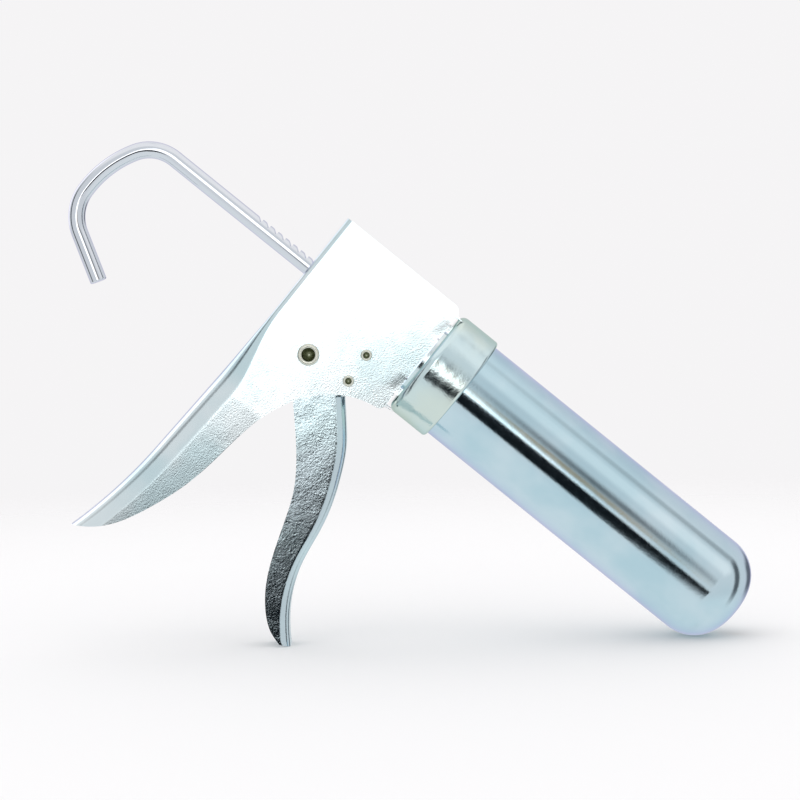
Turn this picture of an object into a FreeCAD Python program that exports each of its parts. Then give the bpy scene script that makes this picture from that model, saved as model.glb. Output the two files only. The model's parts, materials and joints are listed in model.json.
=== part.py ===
# Caulking gun with a ratchet rod and a closed, deep-drawn barrel.
#
# Every piece is drawn in the gun's own frame, in millimetres: X runs forward along the
# barrel's axis from the frame's front edge, Z points away from the handle, and the gun is
# symmetric about Y = 0.  One common placement, worked out at the end, then stands the whole
# gun on its trigger tip and the nose of its barrel, with +Z up.
import FreeCAD, Part

import math
import os

import Sketcher
from FreeCAD import Placement, Rotation, Vector

# ---------------------------------------------------------------- driving dimensions (mm)
SIZES = {
    # frame: one folded channel that is head and handle
    "sheet_gauge": 1.5,
    "frame_width": 24.0,
    "head_length": 67.6,
    "head_top": 29.0,
    "head_bend": 2.6,
    "head_corner": 4.2,
    "chin_drop": 27.5,
    "chin_corner": 3.3,
    "grip_flat": 0.8,
    "tip_width": 20.0,
    "grip_start": 26.0,
    "grip_round": 68.0,
    "grip_end": 172.0,
    "spine_start": 32.0,
    "spine_lean": 0.045,
    "spine_curl_start": 110.0,
    "spine_curl": 0.0021,
    "tab_height": 8.2,
    "tab_spread": 24.2,
    "tab_relief": 0.9,
    "tab_stake": 1.35,
    "tab_slot_play": 0.1,
    # front plate, barrel cap and rod guide
    "plate_diameter": 41.0,
    "plate_thickness": 1.6,
    "cap_overhang": 2.3,
    "cap_wall": 1.5,
    "cap_length": 21.7,
    "cap_shoulder": 3.5,
    "cap_lip": 2.3,
    "cap_play": 0.35,
    "guide_wall": 2.0,
    "guide_flange": 19.0,
    "guide_flange_thickness": 2.0,
    "guide_lip": 14.4,
    "guide_lip_thickness": 1.2,
    "guide_play": 0.05,
    # barrel
    "barrel_diameter": 50.8,
    "barrel_wall": 1.2,
    "barrel_length": 183.6,
    "barrel_inset": 0.85,
    "nose_radius": 19.4,
    "nozzle_hole": 16.0,
    # rod with its hook and teeth
    "rod_diameter": 7.9,
    "rod_hole_play": 0.3,
    "rod_straight_rear": 148.0,
    "rod_shoulder": 84.0,
    "hook_first_radius": 19.0,
    "hook_back_radius": 52.0,
    "hook_last_radius": 21.0,
    "hook_end_length": 24.0,
    "tooth_pitch": 4.5,
    "tooth_depth": 1.8,
    "tooth_slope": 2.5,
    "tooth_rear": 98.2,
    "tooth_count": 34,
    "spigot_diameter": 6.0,
    "spigot_length": 12.0,
    # piston
    "piston_gap": 3.2,
    "piston_wall": 1.5,
    "piston_face": 2.0,
    "piston_depth": 10.0,
    "piston_corner": 3.0,
    "backing_diameter": 24.0,
    "backing_thickness": 1.95,
    "face_washer_diameter": 16.0,
    "face_washer_thickness": 1.15,
    "nut_across_flats": 10.0,
    "nut_height": 5.0,
    "piston_play": 0.05,
    # trigger
    "trigger_gap": 0.5,
    "trigger_gauge": 1.5,
    "trigger_bend": 4.5,
    "arm_radius": 5.0,
    "trigger_swing": 25.0,
    # rivets, pins and what is on them
    "pivot_back": 42.4,
    "pivot_drop": 31.5,
    "pivot_shank": 8.0,
    "pivot_head": 10.2,
    "pivot_bore": 6.3,
    "pivot_bore_depth": 9.0,
    "pivot_head_thickness": 0.9,
    "pivot_sleeve": 10.0,
    "pivot_washer": 13.0,
    "pawl_rivet_back": 21.4,
    "pawl_rivet_drop": 14.9,
    "stop_rivet_back": 20.4,
    "stop_rivet_drop": 29.4,
    "rivet_shank": 4.0,
    "rivet_head": 5.4,
    "rivet_bore": 2.9,
    "rivet_bore_depth": 4.0,
    "rivet_head_thickness": 0.7,
    "stop_spacer": 8.0,
    "pin_play": 0.05,
    "end_play": 0.05,
    # pawls and springs
    "pawl_reach": 17.5,
    "pawl_width": 8.0,
    "pawl_hub": 8.8,
    "pawl_rod_gap": 0.3,
    "pawl_lead": 7.4,
    "pawl_spacer": 5.6,
    "pawl_spring_wire": 0.7,
    "return_spring_wire": 1.4,
    "return_spring_turns": 4,
    "pawl_spring_turns": 2,
    "spring_play": 0.3,
}

doc = FreeCAD.newDocument("CaulkingGun")
sheet = doc.addObject("Spreadsheet::Sheet", "Dims")
for row, (alias, number) in enumerate(SIZES.items(), start=1):
    sheet.set(f"A{row}", alias)
    sheet.set(f"B{row}", str(number))
    sheet.setAlias(f"B{row}", alias)
doc.recompute()


def size(alias):
    return float(sheet.get(alias))


# ------------------------------------------------------------------- sums of named sizes
# A coordinate is written as a sum, such as "cap_wall + plate_thickness/2": it is both
# bound to the sheet as an expression and worked out here as a number.
def is_number(text):
    return text.replace(".", "", 1).isdigit()


def factor(token):
    name, _, divisor = token.partition("/")
    number = float(name) if is_number(name) else size(name)
    return number / float(divisor or 1)


def total(text):
    value, sign = 0.0, 1.0
    for token in text.split():
        if token in ("+", "-"):
            sign = 1.0 if token == "+" else -1.0
        else:
            value += sign * factor(token)
    return value


def bound(text):
    tokens = text.split()
    return " ".join(t if t in ("+", "-") or is_number(t.partition("/")[0]) else "Dims." + t
                    for t in tokens)


def opposite(text):
    swapped = {"+": "-", "-": "+"}
    tokens = [swapped.get(t, t) for t in text.split()]
    return " ".join(tokens[1:] if tokens[0] == "+" else
                    (tokens if tokens[0] == "-" else ["-"] + tokens))


# ------------------------------------------------------------------------ body helpers
PIECES = []
ORIGIN = -1
X_AXIS = -1
Y_AXIS = -2


def new_body(label):
    body = doc.addObject("PartDesign::Body", label)
    body.Label = label
    body.AllowCompound = True
    PIECES.append(body)
    return body


def new_sketch(body, name, role="XZ_Plane", offset=0.0):
    sketch = body.newObject("Sketcher::SketchObject", name)
    plane = next(f for f in body.Origin.OriginFeatures if f.Role == role)
    sketch.AttachmentSupport = (plane, [""])
    sketch.MapMode = "FlatFace"
    sketch.AttachmentOffset = Placement(Vector(0, 0, offset), Rotation())
    return sketch


def pin_point(sketch, edge, vertex, across, along):
    """Binds one vertex to the sheet, both ways from the sketch's origin."""
    for kind, text, axis in (("DistanceX", across, Y_AXIS), ("DistanceY", along, X_AXIS)):
        value = total(text)
        if abs(value) < 1e-9:
            sketch.addConstraint(Sketcher.Constraint("PointOnObject", edge, vertex, axis))
            continue
        index = sketch.addConstraint(Sketcher.Constraint(kind, ORIGIN, 1, edge, vertex, value))
        sketch.setExpression(f"Constraints[{index}]", bound(text))


def polygon(sketch, corners):
    """A closed outline of straight lines through corners given as pairs of sums."""
    points = [Vector(total(a), total(b), 0) for a, b in corners]
    first = sketch.GeometryCount
    count = len(points)
    for n, point in enumerate(points):
        sketch.addGeometry(Part.LineSegment(point, points[(n + 1) % count]), False)
    for n in range(count):
        sketch.addConstraint(Sketcher.Constraint("Coincident", first + n, 2, first + (n + 1) % count, 1))
    for n, (across, along) in enumerate(corners):
        pin_point(sketch, first + n, 1, across, along)


def circle(sketch, across, along, diameter):
    centre = Vector(total(across), total(along), 0)
    edge = sketch.addGeometry(Part.Circle(centre, Vector(0, 0, 1), total(diameter) / 2), False)
    index = sketch.addConstraint(Sketcher.Constraint("Diameter", edge, total(diameter)))
    sketch.setExpression(f"Constraints[{index}]", bound(diameter))
    pin_point(sketch, edge, 3, across, along)


def oblong(left, bottom, right, top):
    return [(left, bottom), (right, bottom), (right, top), (left, top)]


def feature(body, kind, name, profile, **settings):
    made = body.newObject("PartDesign::" + kind, name)
    made.Profile = profile
    for key, value in settings.items():
        setattr(made, key, value)
    return made


def both_sides(made, width):
    made.SideType = "Symmetric"
    made.Type = "Length"
    made.Length = total(width)
    made.setExpression("Length", bound(width))


def through_all(made):
    made.SideType = "Symmetric"
    made.Type = "ThroughAll"


def turn_about_x(body, name, outlines, kind="Revolution"):
    """Turns outlines of (place along the axis, radius) pairs about the body's X axis."""
    sketch = new_sketch(body, name + "_outline")
    for outline in outlines:
        polygon(sketch, outline)
    made = feature(body, kind, name, sketch)
    made.ReferenceAxis = (sketch, ["H_Axis"])
    made.Angle = 360
    return made


def rounded(body, name, alias, wanted):
    """Fillets every edge of the body's tip for which wanted(edge) holds."""
    doc.recompute()
    base = body.Tip
    edges = [f"Edge{n}" for n, e in enumerate(base.Shape.Edges, start=1) if wanted(e)]
    if not edges:
        raise RuntimeError("no edge to round in " + name)
    fillet = body.newObject("PartDesign::Fillet", name)
    fillet.Base = (base, edges)
    fillet.Radius = total(alias)
    fillet.setExpression("Radius", bound(alias))
    doc.recompute()
    return fillet


def ring_at(along, radius):
    """Picks the circle about the X axis at this place and radius."""
    def wanted(edge):
        box = edge.BoundBox
        return (abs(box.XMin - along) < 1e-4 and abs(box.XMax - along) < 1e-4
                and abs(box.YMax - radius) < 1e-3 and abs(box.ZMax - radius) < 1e-3)
    return wanted


def across(body, x_place, z_place):
    """Turns a piece drawn along X so that it lies along Y through this point of the gun."""
    body.Placement = Placement(Vector(x_place, 0, z_place), Rotation(Vector(0, 0, 1), 90))


# ------------------------------------------------------------------ shared places (mm)
PIVOT = Vector(-size("pivot_back"), 0, -size("pivot_drop"))
HOLD = Vector(-size("pawl_rivet_back"), 0, -size("pawl_rivet_drop"))
STOP = Vector(-size("stop_rivet_back"), 0, -size("stop_rivet_drop"))
# the drive pawl's pin swings evenly to both sides of the pivot over a full squeeze
HALF_SWING = math.radians(size("trigger_swing") / 2)
DRIVE = PIVOT + Vector(-math.sin(HALF_SWING), 0, math.cos(HALF_SWING)) * size("pawl_reach")
ROD_UNDERSIDE = -size("rod_diameter") / 2
CAP_BACK = "plate_thickness"
CAP_FLOOR = "plate_thickness + cap_wall"
CAP_RADIUS = "barrel_diameter/2 + cap_overhang"
GUIDE_RADIUS = "rod_diameter/2 + guide_play + guide_wall"
GUIDE_HOLE = GUIDE_RADIUS + " + 0.02"
INNER_HALF = "frame_width/2 - sheet_gauge"
# a wider frame has its tabs nearer its middle, so that they stay inside the barrel
TAB_MIDDLE = "tab_spread - frame_width/3"
TRIGGER_HALF = INNER_HALF + " - trigger_gap"
TRIGGER_WIDTH = "frame_width - sheet_gauge - sheet_gauge - trigger_gap - trigger_gap"
CHEEK_HALF = TRIGGER_HALF + " - trigger_gauge"

# the frame's underside, from the chin back and down to the grip's tip
UNDERSIDE = [(-3.3, -30.8), (-10.5, -32.5), (-20.9, -37.9), (-31.4, -48.2), (-39.7, -63.9),
             (-45.2, -91.0), (-48.1, -110.9), (-54.9, -131.8), (-67.9, -154.3), (-80.5, -164.0)]
# the trigger's front, from the frame down to its tip, and its rear edge back up
TRIGGER_FRONT = [(-17.2, -36.2), (-8.4, -46.1), (-2.1, -53.9), (4.2, -65.4), (9.4, -78.0),
                 (13.1, -92.1), (16.0, -108.8), (20.9, -122.4), (27.7, -133.4), (36.2, -143.0)]
TRIGGER_REAR = [(31.6, -145.3), (25.1, -143.3), (16.7, -137.0), (9.4, -127.6), (3.1, -114.6),
                (-2.6, -98.9), (-8.4, -84.8), (-15.7, -73.8), (-25.1, -62.8), (-34.5, -52.9)]


def smooth_curve(points):
    curve = Part.BSplineCurve()
    curve.interpolate([Vector(a, b, 0) for a, b in points])
    return curve


def chain(sketch, *runs):
    """Closes runs of points into one outline: two points make a line, more make a curve."""
    for points in runs:
        if len(points) > 2:
            sketch.addGeometry(smooth_curve(points), False)
        else:
            sketch.addGeometry(Part.LineSegment(*(Vector(a, b, 0) for a, b in points)), False)


def corner_arc(sketch, centre, radius, start, end):
    """An arc in a sketch, from one angle to another in degrees."""
    whole = Part.Circle(Vector(*centre, 0), Vector(0, 0, 1), radius)
    arc = Part.ArcOfCircle(whole, math.radians(start), math.radians(end))
    sketch.addGeometry(arc, False)


# ------------------------------------------------------------------------------- frame
def grip_section(height):
    """Rear face, half width and bend radius of the channel at a height in the gun's frame."""
    below = -height
    share = min(max((below - size("grip_start")) / (size("grip_round") - size("grip_start")), 0), 1)
    share = share * share * (3 - 2 * share)
    fall = max((below - size("grip_round")) / (size("grip_end") - size("grip_round")), 0)
    width = size("frame_width") + (size("tip_width") - size("frame_width")) * fall
    bend = size("head_bend") * (1 - share) + (width / 2 - size("grip_flat")) * share
    rear = -size("head_length") - size("spine_lean") * max(below - size("spine_start"), 0)
    rear -= size("spine_curl") * max(below - size("spine_curl_start"), 0) ** 2
    return rear, width / 2, bend


def channel_loft(body, kind, name, heights, inset, front):
    """Lofts the channel's outside, or with an inset its inside, down through the heights."""
    sections = []
    for n, height in enumerate(heights):
        rear, half, bend = grip_section(height)
        rear, half, bend = rear + inset, half - inset, bend - inset
        sketch = new_sketch(body, f"{name}_section_{n}", "XY_Plane", height)
        chain(sketch, [(rear + bend, half), (front, half)], [(front, half), (front, -half)],
              [(front, -half), (rear + bend, -half)])
        corner_arc(sketch, (rear + bend, bend - half), bend, 180, 270)
        chain(sketch, [(rear, bend - half), (rear, half - bend)])
        corner_arc(sketch, (rear + bend, half - bend), bend, 90, 180)
        sections.append(sketch)
    loft = body.newObject("PartDesign::" + kind, name)
    loft.Profile = sections[0]
    loft.Sections = sections[1:]
    loft.Ruled = True
    doc.recompute()
    return loft


def front_edge():
    """The side plate's front edge from top to chin: tabs, each with a relief beside it."""
    points = []
    reach = size("plate_thickness") + size("cap_wall") + size("tab_stake")
    relief = size("tab_relief")
    half = size("tab_height") / 2
    for middle in (total(TAB_MIDDLE), -total(TAB_MIDDLE)):
        top, foot = middle + half, middle - half
        points += [(0, top + relief), (-relief, top + relief), (-relief, top), (reach, top),
                   (reach, foot), (-relief, foot), (-relief, foot - relief), (0, foot - relief)]
    return points


def frame():
    body = new_body("frame")
    heights = [32, -24, -34, -44, -54, -64, -82, -110, -122, -134, -146, -158, -size("grip_end")]
    channel_loft(body, "AdditiveLoft", "channel_outside", heights, 0.0, 12.0)
    channel_loft(body, "SubtractiveLoft", "channel_inside", heights, size("sheet_gauge"), 20.0)

    outline = new_sketch(body, "side_outline")
    behind, ahead, over, under = -120.0, 40.0, 60.0, -200.0
    top, corner = size("head_top"), size("head_corner")
    chin, chin_corner = -size("chin_drop"), size("chin_corner")
    frame_box = [(behind, under), (ahead, under), (ahead, over), (behind, over)]
    chain(outline, *([frame_box[n], frame_box[(n + 1) % 4]] for n in range(4)))
    edge = [(0, top - corner)] + front_edge() + [(0, chin)]
    chain(outline, [(behind + 20, top), (-corner, top)])
    corner_arc(outline, (-corner, top - corner), corner, 0, 90)
    chain(outline, *([edge[n], edge[n + 1]] for n in range(len(edge) - 1)))
    corner_arc(outline, (-chin_corner, chin), chin_corner, 270, 360)
    tip = UNDERSIDE[-1]
    chain(outline, UNDERSIDE, [tip, (behind + 20, tip[1])], [(behind + 20, tip[1]), (behind + 20, top)])
    through_all(feature(body, "Pocket", "trimmed_to_outline", outline))

    holes = new_sketch(body, "rivet_holes")
    circle(holes, "- pivot_back", "- pivot_drop", "pivot_shank + 0.04")
    circle(holes, "- pawl_rivet_back", "- pawl_rivet_drop", "rivet_shank + 0.04")
    circle(holes, "- stop_rivet_back", "- stop_rivet_drop", "rivet_shank + 0.04")
    through_all(feature(body, "Pocket", "rivet_holes_cut", holes))

    rod_hole = new_sketch(body, "rod_hole", "YZ_Plane", -size("head_length") + 10)
    circle(rod_hole, "0", "0", "rod_diameter + rod_hole_play + rod_hole_play")
    feature(body, "Pocket", "rod_hole_cut", rod_hole, Type="Length", Length=20)
    return body


# ------------------------------------------------- front plate, barrel cap and rod guide
def tab_slots(body, name, start, depth):
    """Cuts the four slots that the frame's tabs pass through."""
    sketch = new_sketch(body, name, "YZ_Plane", total(start))
    for side in ("", "- "):
        for height in (TAB_MIDDLE, opposite(TAB_MIDDLE)):
            middle = side + "frame_width/2" + (" - " if side == "" else " + ") + "sheet_gauge/2"
            polygon(sketch, oblong(middle + " - sheet_gauge/2 - tab_slot_play",
                                   height + " - tab_height/2 - tab_slot_play",
                                   middle + " + sheet_gauge/2 + tab_slot_play",
                                   height + " + tab_height/2 + tab_slot_play"))
    cut = feature(body, "Pocket", name + "_cut", sketch, Type="Length", Reversed=True)
    cut.Length = total(depth)
    cut.setExpression("Length", bound(depth))


def front_plate():
    body = new_body("front_plate")
    turn_about_x(body, "disc", [oblong("0", GUIDE_HOLE,
                                       "plate_thickness", "plate_diameter/2")])
    tab_slots(body, "plate_slots", "0", "plate_thickness")


def barrel_cap():
    body = new_body("barrel_cap")
    front = "plate_thickness + cap_length"
    turn_about_x(body, "shell", [[
        (CAP_BACK, GUIDE_HOLE), (CAP_BACK, CAP_RADIUS),
        (front, CAP_RADIUS), (front, "barrel_diameter/2 + cap_play"),
        (front + " - cap_lip", "barrel_diameter/2 + cap_play"),
        (front + " - cap_lip - 0.5", CAP_RADIUS + " - cap_wall"),
        (CAP_FLOOR, CAP_RADIUS + " - cap_wall"), (CAP_FLOOR, GUIDE_HOLE)]])
    radius = total(CAP_RADIUS)
    rounded(body, "shoulder", "cap_shoulder", ring_at(total(CAP_BACK), radius))
    rounded(body, "inner_shoulder", "cap_shoulder - cap_wall",
            ring_at(total(CAP_FLOOR), radius - size("cap_wall")))
    rounded(body, "rolled_lip", "cap_wall", ring_at(total(front), radius))
    tab_slots(body, "cap_slots", CAP_BACK, "cap_wall")


def rod_guide():
    body = new_body("rod_guide")
    bore = "rod_diameter/2 + guide_play"
    flange_end = CAP_FLOOR + " + guide_flange_thickness"
    turn_about_x(body, "flanged_bush", [[
        ("- guide_lip_thickness", bore), ("- guide_lip_thickness", "guide_lip/2"),
        ("0", "guide_lip/2"), ("0", GUIDE_RADIUS), (CAP_FLOOR, GUIDE_RADIUS),
        (CAP_FLOOR, "guide_flange/2"), (flange_end, "guide_flange/2"), (flange_end, bore)]])


# ------------------------------------------------------------------------------ barrel
BARREL_REAR = CAP_FLOOR + " + barrel_inset"
NOSE_END = BARREL_REAR + " + barrel_length"


def barrel():
    body = new_body("barrel")
    turn_about_x(body, "drawn_shell", [[
        (BARREL_REAR, "barrel_diameter/2 - barrel_wall"), (BARREL_REAR, "barrel_diameter/2"),
        (NOSE_END, "barrel_diameter/2"), (NOSE_END, "0"), (NOSE_END + " - barrel_wall", "0"),
        (NOSE_END + " - barrel_wall", "barrel_diameter/2 - barrel_wall")]])
    radius = size("barrel_diameter") / 2
    rounded(body, "nose", "nose_radius", ring_at(total(NOSE_END), radius))
    rounded(body, "inner_nose", "nose_radius - barrel_wall",
            ring_at(total(NOSE_END) - size("barrel_wall"), radius - size("barrel_wall")))
    hole = new_sketch(body, "nozzle_hole_outline", "YZ_Plane", total(NOSE_END) + 1)
    circle(hole, "0", "0", "nozzle_hole")
    feature(body, "Pocket", "nozzle_hole_cut", hole, Type="Length", Length=20)


# --------------------------------------------------------------------------------- rod
def hook_path():
    """The rod's centre line from its shoulder back through the hook, as (curve list, end)."""
    x, z, heading = -size("rod_straight_rear"), 0.0, 180.0
    edges = [Part.LineSegment(Vector(size("rod_shoulder"), 0, 0), Vector(x, 0, 0))]
    for alias, turn in (("hook_first_radius", 60.0), ("hook_back_radius", 32.0),
                        ("hook_last_radius", 58.0)):
        radius = size(alias)
        centre = (x - radius * math.sin(math.radians(heading)),
                  z + radius * math.cos(math.radians(heading)))
        start = heading - 90.0
        whole = Part.Circle(Vector(*centre, 0), Vector(0, 0, 1), radius)
        edges.append(Part.ArcOfCircle(whole, math.radians(start), math.radians(start + turn)))
        heading += turn
        x = centre[0] + radius * math.cos(math.radians(heading - 90.0))
        z = centre[1] + radius * math.sin(math.radians(heading - 90.0))
    length = size("hook_end_length")
    end = (x + length * math.cos(math.radians(heading)), z + length * math.sin(math.radians(heading)))
    edges.append(Part.LineSegment(Vector(x, z, 0), Vector(*end, 0)))
    return edges, end


def push_rod():
    body = new_body("push_rod")
    section = new_sketch(body, "rod_section", "YZ_Plane", size("rod_shoulder"))
    circle(section, "0", "0", "rod_diameter")
    path = new_sketch(body, "rod_path")
    edges, end = hook_path()
    for edge in edges:
        path.addGeometry(edge, False)
    pipe = body.newObject("PartDesign::AdditivePipe", "bent_bar")
    pipe.Profile = section
    pipe.Spine = (path, [f"Edge{n + 1}" for n in range(len(edges))])
    doc.recompute()

    def hook_end_ring(edge):
        spot = edge.CenterOfMass
        return edge.Length < 40 and math.hypot(spot.x - end[0], spot.z - end[1]) < 0.01
    rounded(body, "deburred_end", "0.6", hook_end_ring)

    spigot_circle = new_sketch(body, "spigot_section", "YZ_Plane", size("rod_shoulder"))
    circle(spigot_circle, "0", "0", "spigot_diameter")
    spigot = feature(body, "Pad", "spigot", spigot_circle, Type="Length")
    spigot.Length = size("spigot_length")
    spigot.setExpression("Length", bound("spigot_length"))

    tooth = new_sketch(body, "tooth_outline")
    polygon(tooth, [("- tooth_rear", "rod_diameter/2 - tooth_depth"), ("- tooth_rear", "rod_diameter/2 + 0.5"),
                    ("- tooth_rear - tooth_slope", "rod_diameter/2 + 0.5"),
                    ("- tooth_rear - tooth_slope", "rod_diameter/2")])
    notch = feature(body, "Pocket", "first_notch", tooth)
    through_all(notch)
    doc.recompute()
    row = body.newObject("PartDesign::LinearPattern", "ratchet_teeth")
    row.Originals = [notch]
    row.Direction = (path, ["H_Axis"])
    row.Mode = "Spacing"
    row.Occurrences = int(size("tooth_count"))
    row.Offset = size("tooth_pitch")
    row.setExpression("Offset", bound("tooth_pitch"))
    row.setExpression("Occurrences", bound("tooth_count"))
    body.Tip = row


# ------------------------------------------------------------------------------ piston
FACE_BACK = "rod_shoulder + backing_thickness + piston_play"
FACE_FRONT = FACE_BACK + " + piston_face"
WASHER_BACK = FACE_FRONT + " + piston_play"
NUT_BACK = WASHER_BACK + " + face_washer_thickness"
SPIGOT_HOLE = "spigot_diameter/2 + pin_play"
PISTON_RADIUS = "barrel_diameter/2 - barrel_wall - piston_gap"


def piston():
    body = new_body("piston_cup")
    rear = FACE_FRONT + " - piston_depth"
    turn_about_x(body, "cup", [[
        (FACE_BACK, SPIGOT_HOLE), (FACE_BACK, PISTON_RADIUS + " - piston_wall"),
        (rear, PISTON_RADIUS + " - piston_wall"), (rear, PISTON_RADIUS),
        (FACE_FRONT, PISTON_RADIUS), (FACE_FRONT, SPIGOT_HOLE)]])
    rounded(body, "cup_corner", "piston_corner",
            ring_at(total(FACE_FRONT), total(PISTON_RADIUS)))

    backing = new_body("piston_backing_washer")
    turn_about_x(backing, "washer", [oblong("rod_shoulder", "spigot_diameter/2 + 0.02",
                                            "rod_shoulder + backing_thickness", "backing_diameter/2")])
    face = new_body("piston_face_washer")
    turn_about_x(face, "washer", [oblong(WASHER_BACK, "spigot_diameter/2 + 0.02",
                                         NUT_BACK, "face_washer_diameter/2")])
    nut = new_body("piston_nut")
    hexagon = new_sketch(nut, "nut_outline", "YZ_Plane", total(NUT_BACK))
    flats = size("nut_across_flats")
    corners = [(flats / math.sqrt(3) * math.cos(math.radians(60 * n)),
                flats / math.sqrt(3) * math.sin(math.radians(60 * n))) for n in range(6)]
    chain(hexagon, *([corners[n], corners[(n + 1) % 6]] for n in range(6)))
    circle(hexagon, "0", "0", "spigot_diameter + 0.04")
    pad = feature(nut, "Pad", "nut", hexagon, Type="Length")
    pad.Length = size("nut_height")
    pad.setExpression("Length", bound("nut_height"))


# ----------------------------------------------------------------------------- trigger
def offset_points(points, distance):
    """Points moved square to their curve, to its right as it runs for a positive distance."""
    curve = smooth_curve(points)
    moved = []
    for a, b in points:
        tangent = curve.tangent(curve.parameter(Vector(a, b, 0)))[0]
        moved.append((a + tangent.y * distance, b - tangent.x * distance))
    return moved


def trigger():
    body = new_body("trigger")
    outline = new_sketch(body, "side_outline")
    arm = size("arm_radius")
    head = [TRIGGER_REAR[-1], (-41.0, -48.5), (-50.0, -42.0), (-54.0, -31.0),
            (DRIVE.x - arm, DRIVE.z), (DRIVE.x, DRIVE.z + arm), (DRIVE.x + arm, DRIVE.z),
            (-31.5, -24.5), (-24.0, -33.5), TRIGGER_FRONT[0]]
    chain(outline, TRIGGER_FRONT, [TRIGGER_FRONT[-1], TRIGGER_REAR[0]], TRIGGER_REAR)
    straight = [n for n in range(len(head) - 1) if n not in (4, 5)]
    chain(outline, *([head[n], head[n + 1]] for n in straight))
    corner_arc(outline, (DRIVE.x, DRIVE.z), arm, 0, 180)
    both_sides(feature(body, "Pad", "blank", outline), TRIGGER_WIDTH)

    front = smooth_curve(TRIGGER_FRONT)
    half = total(TRIGGER_HALF)

    def on_front(curve, half_width):
        def wanted(edge):
            spots = [edge.valueAt(edge.FirstParameter + share * (edge.LastParameter - edge.FirstParameter))
                     for share in (0.1, 0.5, 0.9)]
            return all(abs(abs(p.y) - half_width) < 1e-4
                       and curve.toShape().distToShape(Part.Vertex(p.x, p.z, 0))[0] < 1e-3 for p in spots)
        return wanted
    rounded(body, "front_bends", "trigger_bend", on_front(front, half))

    inside = offset_points(TRIGGER_FRONT, size("trigger_gauge"))
    first, second = Vector(*inside[0], 0), Vector(*inside[1], 0)
    above = first + (first - second).normalize() * 12
    last, before = Vector(*inside[-1], 0), Vector(*inside[-2], 0)
    below = last + (last - before).normalize() * 12
    hollow = new_sketch(body, "hollow_outline")
    chain(hollow, [(above.x, above.y), inside[0]], inside, [inside[-1], (below.x, below.y)],
          [(below.x, below.y), (-90, below.y)], [(-90, below.y), (-90, 10)], [(-90, 10), (above.x, 10)],
          [(above.x, 10), (above.x, above.y)])
    both_sides(feature(body, "Pocket", "hollow", hollow),
               TRIGGER_WIDTH + " - trigger_gauge - trigger_gauge")
    rounded(body, "inner_bends", "trigger_bend - trigger_gauge",
            on_front(smooth_curve(inside), half - size("trigger_gauge")))

    holes = new_sketch(body, "holes")
    circle(holes, "- pivot_back", "- pivot_drop", "pivot_shank + pin_play + pin_play")
    whole = Part.Circle(Vector(DRIVE.x, DRIVE.z, 0), Vector(0, 0, 1), size("rivet_shank") / 2 + 0.02)
    holes.addGeometry(whole, False)
    through_all(feature(body, "Pocket", "holes_cut", holes))


# ---------------------------------------------------- rivets, pins, sleeves and spacers
def rivet(label, place, shank, head, bore, depth, thickness):
    """A semi-tubular rivet through both side plates: hollow clinched end towards -Y."""
    body = new_body(label)
    near, far = "- frame_width/2", "frame_width/2"
    floor = f"{near} - {thickness} + {depth}"
    turn_about_x(body, "rivet", [[
        (f"{near} - {thickness}", bore + "/2"), (f"{near} - {thickness}", head + "/2"),
        (near, head + "/2"), (near, shank + "/2"), (far, shank + "/2"), (far, head + "/2"),
        (f"{far} + {thickness}", head + "/2"), (f"{far} + {thickness}", "0"), (floor, "0"),
        (floor, bore + "/2")]])
    rim = size(head) / 2
    edge = size("frame_width") / 2 + size(thickness)
    rounded(body, "clinched_rim", thickness + "/2", ring_at(-edge, rim))
    rounded(body, "head_rim", thickness + "/2", ring_at(edge, rim))
    across(body, place.x, place.z)


def sleeve(label, place, bore, diameter, spans):
    """Tubes on one axis across the gun, one for each span."""
    body = new_body(label)
    turn_about_x(body, "tube", [oblong(start, bore, end, diameter) for start, end in spans])
    across(body, place.x, place.z)


def mirrored_spans(start, end):
    return [(start, end), (opposite(end), opposite(start))]


def round_parts():
    rivet("trigger_pivot_rivet", PIVOT, "pivot_shank", "pivot_head", "pivot_bore",
          "pivot_bore_depth", "pivot_head_thickness")
    for label, place in (("holding_pawl_rivet", HOLD), ("stop_rivet", STOP)):
        rivet(label, place, "rivet_shank", "rivet_head", "rivet_bore", "rivet_bore_depth",
              "rivet_head_thickness")
    inner = CHEEK_HALF + " - end_play"
    outer = INNER_HALF + " - end_play"
    sleeve("pivot_sleeve", PIVOT, "pivot_shank/2 + pin_play", "pivot_sleeve/2",
           [(opposite(inner), inner)])
    sleeve("pivot_washers", PIVOT, "pivot_shank/2 + pin_play", "pivot_washer/2",
           mirrored_spans(TRIGGER_HALF + " + end_play", outer))
    sleeve("stop_spacer", STOP, "rivet_shank/2 + pin_play", "stop_spacer/2",
           [(opposite(outer), outer)])
    beside_pawl = "pawl_width/2 + end_play + end_play"
    sleeve("holding_pawl_spacers", HOLD, "rivet_shank/2 + pin_play", "pawl_spacer/2",
           mirrored_spans(beside_pawl, outer))
    sleeve("drive_pawl_spacers", DRIVE, "rivet_shank/2 + pin_play", "pawl_spacer/2",
           mirrored_spans(beside_pawl, inner))
    pin = new_body("drive_pawl_pin")
    end = TRIGGER_HALF + " + end_play + end_play + end_play"
    turn_about_x(pin, "pin", [oblong(opposite(end), "0", end, "rivet_shank/2")])
    across(pin, DRIVE.x, DRIVE.z)


# ------------------------------------------------------------------- pawls and springs
def pawl_tip(place, gap):
    return Vector(place.x + size("pawl_lead"), 0, ROD_UNDERSIDE - gap)


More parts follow.
